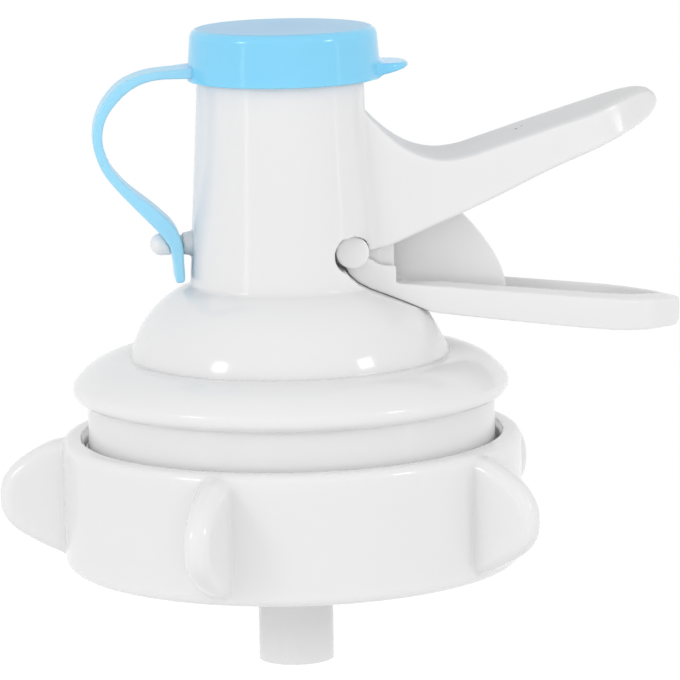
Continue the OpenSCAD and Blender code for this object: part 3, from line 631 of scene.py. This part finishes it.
def lever(x, y, z):
    u, w, ay = x - PIVOT_X, z - PIVOT_Z, np.abs(y)
    rho = np.hypot(u, w)
    plan = lever_plan(u, y)
    # The rim rises a little from its outer edge to the tray
    rise = RIM_RISE * np.clip(-plan / RIM_W, 0, 1) * np.clip((u - 8) / 5, 0, 1)
    rise = rise * np.clip((w - rim_at(u) + 3) / 1.5, 0, 1)
    d = both(lever_side(u, w - rise), plan, 0.3)
    d = smax(d, -both(lever_tray(u, w), plan + RIM_W, 0.2), 0.3)
    # Open between the arms, and again above the tray's near end
    d = smax(d, -box3(u, y, w, (-10, -ARM_IN, -20), (5.8, ARM_IN, 20)), 0.2)
    d = smax(d, -box3(u, y, w, (5, -ARM_IN, -4.95), (8, ARM_IN, 20)), 0.1)
    knuckle = both(rho - KNUCKLE_R, between(ay, ARM_IN, KNUCKLE_OUT), 0.3)
    d = smin(d, knuckle, 0.2)
    # Trunnion, from the arm into the cheek's hole
    trunnion = np.maximum(rho - TRUNNION_R, np.maximum(ay - ARM_IN - 0.3, CHEEK_IN - 0.2 - ay))
    d = np.minimum(d, trunnion)
    d = smin(d, both(lever_fan(u, w), ay - FAN_HALF, 0.3), 0.5)
    # Finger that pushes the stem, with a round end
    low, high = (FINGER_X, -FINGER_HW, -FINGER_R), (1.5, FINGER_HW, FINGER_R)
    end = both(np.hypot(u - FINGER_X, w) - FINGER_R, ay - FINGER_HW, 0.3)
    return smin(d, np.minimum(box3(u, y, w, low, high, 0.2), end), 0.3)


# ---------------------------------------------------------------- cap and strap

CAP_BOTTOM = CAP_Z - 0.3
PLUG_R, LIP_R = MOUTH_R - 0.1, MOUTH_R - 1.4
TAB_REACH, TAB_HW, TAB_CORNER, TAB_TOP = 3.9, 4.5, 3.5, CAP_Z + 1.95
STRAP_HW, STRAP_FLARE, STRAP_HOLE_R = 3.5, 0.25, 1.45
cap_out = Outline(
    rounded(
        [
            (0, CAP_BOTTOM, 0),
            (CAP_R, CAP_BOTTOM, 0.35),
            (CAP_R - 0.6, CAP_TOP - 0.05, 1.35),
            (0, CAP_TOP, 0),
        ]
    ),
    margin=2.0,
    h=0.05,
)
cap_in = Outline(
    [
        (0, CAP_Z - 2),
        (TOP_R + 0.08, CAP_Z - 2),
        (TOP_R + 0.02, RIM_Z + 0.8),
        (PLUG_R, RIM_Z + 0.8),
        (PLUG_R, RIM_Z - 2.6),
        (MOUTH_R - 0.4, RIM_Z - 3),
        (LIP_R, RIM_Z - 3),
        (LIP_R, CAP_TOP - 1.4),
        (0, CAP_TOP - 1.4),
    ],
    margin=2.0,
)


def cap(x, y, z):
    r = np.hypot(x, y)
    tab_low = CAP_BOTTOM + np.clip((x - CAP_R + 2.5) * 0.22, 0, 1.4)
    plan = bar_plan(x, y, CAP_R + TAB_REACH, TAB_HW, TAB_CORNER)
    tab = both(plan, between(z, tab_low, TAB_TOP), 0.5)
    tab = np.maximum(tab, TOP_R + 0.6 - x)
    return np.maximum(smin(cap_out(r, z), tab, 0.9), -cap_in(r, z))


def strap(x, y, z):
    # The strap widens a little where it joins the cap
    half = STRAP_HW + STRAP_FLARE * np.clip((x + 17) / 3, 0, 1) * (z > 45)
    d = both(strap_side(x, z), np.abs(y) - half, 0.35)
    hole = np.hypot(y, z - PEG_Z) - STRAP_HOLE_R
    return smax(d, -np.maximum(hole, z - 40), 0.2)


# ---------------------------------------------------------------- ring

ring_out = Outline(
    rounded(
        [
            (25, RING_TOP, 0),
            (RING_R, RING_TOP, 1.2),
            (RING_R, RING_BOTTOM, 1.3),
            (25, RING_BOTTOM, 0),
        ]
    )
)
ring_in = Outline(
    [
        (0, 2), (RING_BORE + 0.6, 2), (RING_BORE + 0.5, RING_TOP - 0.3),
        (RING_BORE, RING_TOP - 0.9), (RING_BORE, -14.2), (29.1, -18.7), (28.1, -18.7),
        (28.1, -24), (0, -24),
    ],
    margin=2.0,
)
wing_side = Outline(
    [(31.0, RING_TOP - 1.2)]
    + smooth_curve(
        [
            (33.2, -1.75), (35.6, -2.2), (37.3, -2.95), (38.9, -3.8), (40.6, -4.9), (42.0, -6.2),
            (43.0, -7.7), (43.5, -9.4), (43.55, -11.1), (43.2, -12.9), (42.3, -14.4),
            (41, -15.6), (39.6, -16.5), (38.1, -17.35), (36.3, -18.25), (34.2, -19.2),
        ]
    )
    + [(31.0, -19.6)]
)
FIRST_WING, HALF_STEP = math.radians(31), math.radians(36)
WING_HALF, WING_EDGE = 2.05, 1.75
RIDGE_R, RIDGE_HALF = 30.3, 0.3


def ring(x, y, z):
    r = np.hypot(x, y)
    # Five wings: the angle is folded into one wing's share of the ring
    a = np.arctan2(y, x) - FIRST_WING
    a = (a + HALF_STEP) % (2 * HALF_STEP) - HALF_STEP
    u, v = r * np.cos(a), r * np.sin(a)
    half = WING_HALF + 0.05 * np.clip(38 - u, -3, 6)
    wing = both(wing_side(u, z), np.abs(v) - half, WING_EDGE)
    d = smin(ring_out(r, z), wing, 0.5)
    d = np.maximum(d, -ring_in(r, z))
    # Thread inside, between the turns of the skirt's
    flanks = from_turn(x, y, z, PITCH / 2) - RIDGE_HALF - FLANK * (r - RIDGE_R)
    ridge = np.maximum(np.maximum(RIDGE_R - r, flanks), between(z, -13.2, -3.4))
    return np.minimum(d, np.maximum(ridge, r - 31.5))


# ---------------------------------------------------------------- materials

MIX_SOCKETS = {"RGBA": (6, 7, 2), "FLOAT": (2, 3, 0)}  # first input, second input, result
FLOW_SCALE, GLOSS_SCALE, SKIN_SCALE, SPECK_SCALE, GRAIN_SCALE = 55, 160, 420, 95, 900
SKIN_DEPTH = 0.0004
PLASTIC_IOR, SUBSURFACE_DEPTH = 1.5, 0.0025
MARK_COLOR = (0.08, 0.08, 0.085)


def new_material(name):
    m = bpy.data.materials.new(name)
    m.use_nodes = True
    return m, m.node_tree, m.node_tree.nodes["Principled BSDF"]


def object_place(tree):
    return tree.nodes.new("ShaderNodeTexCoord").outputs["Object"]


def noise(tree, place, scale, detail=2):
    n = tree.nodes.new("ShaderNodeTexNoise")
    n.inputs["Scale"].default_value = scale
    n.inputs["Detail"].default_value = detail
    tree.links.new(place, n.inputs["Vector"])
    return n.outputs["Fac"]


def ramped(tree, value, start, end, low=0.0, high=1.0, clamp=True):
    """low where value is start, going to high where it is end."""
    n = tree.nodes.new("ShaderNodeMapRange")
    n.clamp = clamp
    for key, number in (("From Min", start), ("From Max", end), ("To Min", low), ("To Max", high)):
        n.inputs[key].default_value = number
    tree.links.new(value, n.inputs["Value"])
    return n.outputs["Result"]


def mixed(tree, kind, amount, first, second):
    """Mix from first to second by amount; a colour, a number or a socket for each."""
    n = tree.nodes.new("ShaderNodeMix")
    n.data_type = kind
    a, b, result = MIX_SOCKETS[kind]
    tree.links.new(amount, n.inputs[0])
    for slot, value in ((a, first), (b, second)):
        if isinstance(value, bpy.types.NodeSocket):
            tree.links.new(value, n.inputs[slot])
        elif kind == "RGBA":
            n.inputs[slot].default_value = (*value, 1)
        else:
            n.inputs[slot].default_value = value
    return n.outputs[result]


def math_node(tree, operation, a, b):
    n = tree.nodes.new("ShaderNodeMath")
    n.operation = operation
    tree.links.new(a, n.inputs[0])
    tree.links.new(b, n.inputs[1])
    return n.outputs[0]


def height_of(tree, vector):
    n = tree.nodes.new("ShaderNodeSeparateXYZ")
    tree.links.new(vector, n.inputs[0])
    return n.outputs["Z"]


def specks(tree, place, colour, base, strength):
    """Sparse darker inclusions, as in white moulding stock."""
    dots = tree.nodes.new("ShaderNodeTexVoronoi")
    dots.inputs["Scale"].default_value = SPECK_SCALE
    tree.links.new(place, dots.inputs["Vector"])
    few = ramped(tree, dots.outputs["Distance"], 0.022, 0.012, 0, strength)
    return mixed(tree, "RGBA", few, colour, [0.45 * c for c in base])


def gate_marks(tree, place, colour, marks):
    """Dark specks, as a cut-off gate leaves, from (x, y, z, radius) in metres."""
    for x, y, z, r in marks:
        away = tree.nodes.new("ShaderNodeVectorMath")
        away.operation = "DISTANCE"
        away.inputs[1].default_value = (x, y, z)
        tree.links.new(place, away.inputs[0])
        spot = ramped(tree, away.outputs["Value"], r, 0.6 * r)
        colour = mixed(tree, "RGBA", spot, colour, MARK_COLOR)
    return colour


# Mask of faces that look up, for a rougher etched texture and a darker colour of painted shade
def shaded_matte_top(tree, place, low, steep, flat):
    """1 on faces that look up (normal's z from steep to flat) above the height low, else 0."""
    normal = tree.nodes.new("ShaderNodeNewGeometry").outputs["Normal"]
    facing = ramped(tree, height_of(tree, normal), steep, flat)
    high = ramped(tree, height_of(tree, place), low, low + 0.0005)
    return math_node(tree, "MULTIPLY", facing, high)


def plastic(
    name, color, tint, rough, spread=0.06, speck=None, sss=0.0, bump=0.02, scale=1.0,
    top=None, marks=(),
):
    """Moulded plastic: faint flow marks in colour and gloss, and a moulded skin's unevenness.

    top is the rougher texture of an etched mould face, with painted shade in its darker, greyer
    colour on faces that look up: its colour, roughness, lowest height, and the normal's z where it
    starts and where it is full.
    """
    m, tree, p = new_material(name)
    place = object_place(tree)
    colour = mixed(tree, "RGBA", noise(tree, place, FLOW_SCALE * scale, 3), color, tint)
    if speck:
        colour = specks(tree, place, colour, color, speck)
    gloss = noise(tree, place, GLOSS_SCALE * scale)
    gloss = ramped(tree, gloss, 0.3, 0.7, rough - spread / 2, rough + spread / 2, clamp=False)
    # Painted shade: faces that look up take a darker, greyer colour, beside their real rougher
    # texture
    if top:
        painted_shade_color, top_rough, low, steep, flat = top
        shaded_top_mask = shaded_matte_top(tree, place, low, steep, flat)
        gloss = mixed(tree, "FLOAT", shaded_top_mask, gloss, top_rough)
        colour = mixed(tree, "RGBA", shaded_top_mask, colour, painted_shade_color)
    colour = gate_marks(tree, place, colour, marks)
    skin = tree.nodes.new("ShaderNodeBump")
    skin.inputs["Strength"].default_value = bump
    skin.inputs["Distance"].default_value = SKIN_DEPTH
    tree.links.new(noise(tree, place, SKIN_SCALE * scale), skin.inputs["Height"])
    tree.links.new(skin.outputs["Normal"], p.inputs["Normal"])
    tree.links.new(colour, p.inputs["Base Color"])
    tree.links.new(gloss, p.inputs["Roughness"])
    p.inputs["IOR"].default_value = PLASTIC_IOR
    p.inputs["Subsurface Weight"].default_value = sss
    p.inputs["Subsurface Radius"].default_value = (1.0, 1.0, 1.0)
    p.inputs["Subsurface Scale"].default_value = SUBSURFACE_DEPTH
    return m


def rubber(name, color, rough):
    shade = [c * 0.8 for c in color]
    return plastic(name, color, shade, rough, spread=0.12, bump=0.15, scale=2.0)


def steel(name):
    m, tree, p = new_material(name)
    grain = noise(tree, object_place(tree), GRAIN_SCALE)
    colour = mixed(tree, "RGBA", grain, (0.60, 0.60, 0.61), (0.72, 0.72, 0.72))
    tree.links.new(colour, p.inputs["Base Color"])
    tree.links.new(ramped(tree, grain, 0, 1, 0.2, 0.38), p.inputs["Roughness"])
    p.inputs["Metallic"].default_value = 1.0
    return m


WHITE = {
    "color": (0.835, 0.83, 0.83),
    "tint": (0.815, 0.812, 0.815),
    "rough": 0.12,
    "speck": 0.35,
    "sss": 0.4,
    "bump": 0.012,
}
white = plastic("white_plastic", **WHITE)
white_shell = plastic(
    "housing_plastic",
    # Painted shade on the handle's top and root curve: darker grey, with a rougher texture
    top=((0.68, 0.68, 0.685), 0.42, 0.0385, 0.15, 0.5),
    marks=[(0.0338, -0.00242, 0.04295, 0.0003), (0.03471, -0.0017, 0.04328, 0.0002)],
    **WHITE,
)
blue = plastic(
    "blue_plastic",
    (0.235, 0.67, 1.0),
    (0.225, 0.655, 0.985),
    0.12,
    sss=0.3,
    bump=0.012,
    # Painted shade on the cap's roof: a darker, greyer blue, with a rougher texture
    top=((0.25, 0.445, 0.68), 0.5, 0.0585, 0.9, 0.97),
)
cyan = plastic(
    "strap_plastic", (0.34, 0.71, 0.96), (0.32, 0.69, 0.94), 0.3, spread=0.02, sss=0.3, bump=0.003
)
natural = plastic(
    "natural_plastic", (0.74, 0.75, 0.74), (0.70, 0.71, 0.70), 0.4, sss=0.2, bump=0.05
)
silicone = rubber("gasket_rubber", (0.55, 0.57, 0.58), 0.5)
seal = rubber("seal_rubber", (0.02, 0.02, 0.022), 0.55)
stainless = steel("stainless_steel")

# ---------------------------------------------------------------- pieces

LOOKS = [
    (white, ["valve_cage"]),
    (natural, ["grip_collar", "seat_plate", "valve_disc", "valve_stem", "gland_bush"]),
    (silicone, ["cap_seal", "neck_gasket"]),
    (seal, ["disc_washer", "plate_seal", "stem_seal", "vent_seal"]),
    (stainless, ["disc_clip", "return_spring", "spring_washer", "cage_screws"]),
]
for look, names in LOOKS:
    for name in names:
        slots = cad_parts[name].data.materials
        slots.clear()
        slots.append(look)


def piece(o, look, node, body=None):
    """Gives a piece its material and its body, and shows it in place of a CAD node."""
    o.data.materials.append(look)
    if body:
        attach(o, body)
    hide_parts(node)
    return o


def shell(name, field, lo, hi, h, look, body, node):
    piece(field_mesh(name, field, lo, hi, h), look, node, body)


shell(
    "housing_shell", housing, (-33.6, -33.6, -13.3), (57, 33.6, 58), 0.31,
    white_shell, "head", "housing",
)
shell(
    "squeeze_lever_shell", lever, (-3, -11, 10.5), (60, 11, 38.5), 0.26,
    white, "lever", "squeeze_lever",
)
shell("clamp_ring_shell", ring, (-46, -46, -22), (46, 46, 0), 0.4, white, "ring", "clamp_ring")
shell(
    "spout_cap_shell", cap, (-15.5, -15.5, 50.5), (20, 15.5, 60), 0.27,
    blue, "cap", "spout_cap",
)
band = field_mesh("cap_strap_band", strap, (-29.5, -5, 20.5), (-13.3, 5, 54.8), 0.25)
piece(band, cyan, "cap_strap")
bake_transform(band)


def coil_spring(name, z0, z1, wire=0.45, radius=5.2, turns=6, sides=12):
    """Helix about the Z axis between two heights, with wire as its half thickness, in mm."""
    steps = 36 * turns
    t = np.arange(steps + 1) / steps
    angle = (2 * math.pi * turns * t)[:, None]
    b = 2 * math.pi * np.arange(sides) / sides
    reach = radius + wire * np.cos(b)[None, :]
    start, end = z0 + wire, z1 - wire
    height = (start + (end - start) * t)[:, None] + wire * np.sin(b)[None, :]
    points = np.stack([reach * np.cos(angle), reach * np.sin(angle), height], -1).reshape(-1, 3)
    i, k = np.meshgrid(np.arange(steps), np.arange(sides), indexing="ij")
    here, beyond = i * sides, (i + 1) * sides
    j = (k + 1) % sides
    quads = np.stack([here + k, here + j, beyond + j, beyond + k], -1).reshape(-1, 4).tolist()
    ends = [list(range(sides))[::-1], [steps * sides + k for k in range(sides)]]
    return make_mesh(name, points / MM_PER_M, quads + ends)


# The CAD spring is rigid; this one is a wire coil between the cage and the valve disc, over the CAD
# spring's heights
low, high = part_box("return_spring")
spring = coil_spring("return_spring_wire", low[2] * MM_PER_M, high[2] * MM_PER_M)
piece(spring, stainless, "return_spring")
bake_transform(spring)

# ---------------------------------------------------------------- world and floor


def shader_mix(tree, amount, first, second):
    n = tree.nodes.new("ShaderNodeMixShader")
    for slot, socket in enumerate((amount, first, second)):
        tree.links.new(socket, n.inputs[slot])
    return n.outputs[0]


def by_light_path(tree, seen, lit):
    """Shader that the camera, mirrors and glass see as seen, and that lights the part as lit."""
    path = tree.nodes.new("ShaderNodeLightPath").outputs
    looks = math_node(tree, "MAXIMUM", path["Is Camera Ray"], path["Is Glossy Ray"])
    looks = math_node(tree, "MAXIMUM", looks, path["Is Transmission Ray"])
    return shader_mix(tree, looks, lit, seen)


def background(tree, strength):
    n = tree.nodes.new("ShaderNodeBackground")
    n.inputs["Color"].default_value = (1, 1, 1, 1)
    n.inputs["Strength"].default_value = strength
    return n.outputs[0]


world = bpy.data.worlds.new("studio")
bpy.context.scene.world = world
world.use_nodes = True
tree = world.node_tree
tree.nodes.clear()
sky = by_light_path(tree, background(tree, 1.0), background(tree, 0.7))
tree.links.new(sky, tree.nodes.new("ShaderNodeOutputWorld").inputs["Surface"])

FLOOR_HALF, FLOOR_Z = 0.9, -0.2
floor_mesh = bpy.data.meshes.new("floor")
floor_mesh.from_pydata(
    [(FLOOR_HALF * x, FLOOR_HALF * y, FLOOR_Z) for x, y in ((-1, -1), (1, -1), (1, 1), (-1, 1))],
    [],
    [(0, 1, 2, 3)],
)
floor = bpy.data.objects.new("floor", floor_mesh)
bpy.context.scene.collection.objects.link(floor)
floor_white, tree, lit_floor = new_material("floor_white")
lit_floor.inputs["Base Color"].default_value = (0.85, 0.85, 0.85, 1)
lit_floor.inputs["Roughness"].default_value = 0.9
# What is seen is near white by itself, and keeps the part's shadow in the rest
glow = tree.nodes.new("ShaderNodeEmission")
glow.inputs["Strength"].default_value = 0.85
matte = tree.nodes.new("ShaderNodeBsdfDiffuse")
matte.inputs["Color"].default_value = (0.3, 0.3, 0.3, 1)
seen_floor = tree.nodes.new("ShaderNodeAddShader")
tree.links.new(glow.outputs[0], seen_floor.inputs[0])
tree.links.new(matte.outputs[0], seen_floor.inputs[1])
# The floor is clear from below, so that the part can be looked at from there
above = by_light_path(tree, seen_floor.outputs[0], lit_floor.outputs[0])
clear = tree.nodes.new("ShaderNodeBsdfTransparent").outputs[0]
below = tree.nodes.new("ShaderNodeNewGeometry").outputs["Backfacing"]
floor_out = next(n for n in tree.nodes if n.type == "OUTPUT_MATERIAL")
tree.links.new(shader_mix(tree, below, above, clear), floor_out.inputs["Surface"])
floor_mesh.materials.append(floor_white)

# ---------------------------------------------------------------- lamps

AIM = (0, 0, 0.015)


def lamp(name, azimuth, elevation, distance, size, power, mirrored=True):
    """Area lamp aimed at the part, at an azimuth from the camera's side (-Y), positive to +X."""
    a, e = math.radians(azimuth), math.radians(elevation)
    level = distance * math.cos(e)
    place = (level * math.sin(a), -level * math.cos(a), AIM[2] + distance * math.sin(e))
    d = bpy.data.lights.new(name, "AREA")
    d.shape = "RECTANGLE"
    d.size, d.size_y = size
    d.energy = power
    o = bpy.data.objects.new(name, d)
    bpy.context.scene.collection.objects.link(o)
    o.visible_glossy = mirrored
    o.location = place
    o.rotation_mode = "QUATERNION"
    o.rotation_quaternion = (Vector(AIM) - Vector(place)).to_track_quat("-Z", "Y")


# Small boxes and strips for the highlights, and broad lamps that no glossy face mirrors
lamp("box_left", -58, 21, 1.2, (0.22, 0.22), 1.3)
lamp("box_right", 54, 21, 1.2, (0.22, 0.22), 1.3)
lamp("strip_left", -54, -4, 1.2, (0.09, 0.42), 0.18)
lamp("strip_right", 64, -4, 1.2, (0.06, 0.42), 0.11)
lamp("side_left", -64, 7, 1.4, (1.3, 1.3), 2.8, mirrored=False)
lamp("side_right", 64, 8, 1.4, (1.3, 1.3), 1.95, mirrored=False)
lamp("front_high", -4, 48, 1.6, (1.4, 1.0), 1.5, mirrored=False)
lamp("front_low", -4, 0, 1.6, (1.0, 0.6), 2.25, mirrored=False)

# ---------------------------------------------------------------- camera

# Fitted to the photograph: metres, degrees, and the focal length in pixels
DISTANCE, HEIGHT = 0.63371, 0.1204
AZIMUTH, YAW, TILT, ROLL = (math.radians(v) for v in (-4.0, 0.67, 9.7, -1.18))
FOCAL, IMAGE_SIDE, SENSOR = 4344.52, 680, 36


def turned(a, b, angle):
    """The pair of unit vectors a and b, turned in their plane so that a goes towards b."""
    c, s = math.cos(angle), math.sin(angle)
    return c * a + s * b, c * b - s * a


up = Vector((0, 0, 1))
forward = Vector((-math.sin(AZIMUTH), math.cos(AZIMUTH), 0))
right = Vector((math.cos(AZIMUTH), math.sin(AZIMUTH), 0))
forward, right = turned(forward, right, YAW)
up, forward = turned(up, forward, TILT)
right, up = turned(right, up, ROLL)
place = Vector((DISTANCE * math.sin(AZIMUTH), -DISTANCE * math.cos(AZIMUTH), HEIGHT))
cam_data = bpy.data.cameras.new("camera")
cam_data.sensor_width = SENSOR
cam_data.lens = FOCAL / IMAGE_SIDE * SENSOR
cam_data.clip_start, cam_data.clip_end = 0.01, 20
cam = bpy.data.objects.new("camera", cam_data)
bpy.context.scene.collection.objects.link(cam)
rows = [(right[k], up[k], -forward[k], place[k]) for k in range(3)]
cam.matrix_world = Matrix(rows + [(0, 0, 0, 1)])
bpy.context.scene.camera = cam
bpy.context.scene.view_settings.view_transform = "Standard"
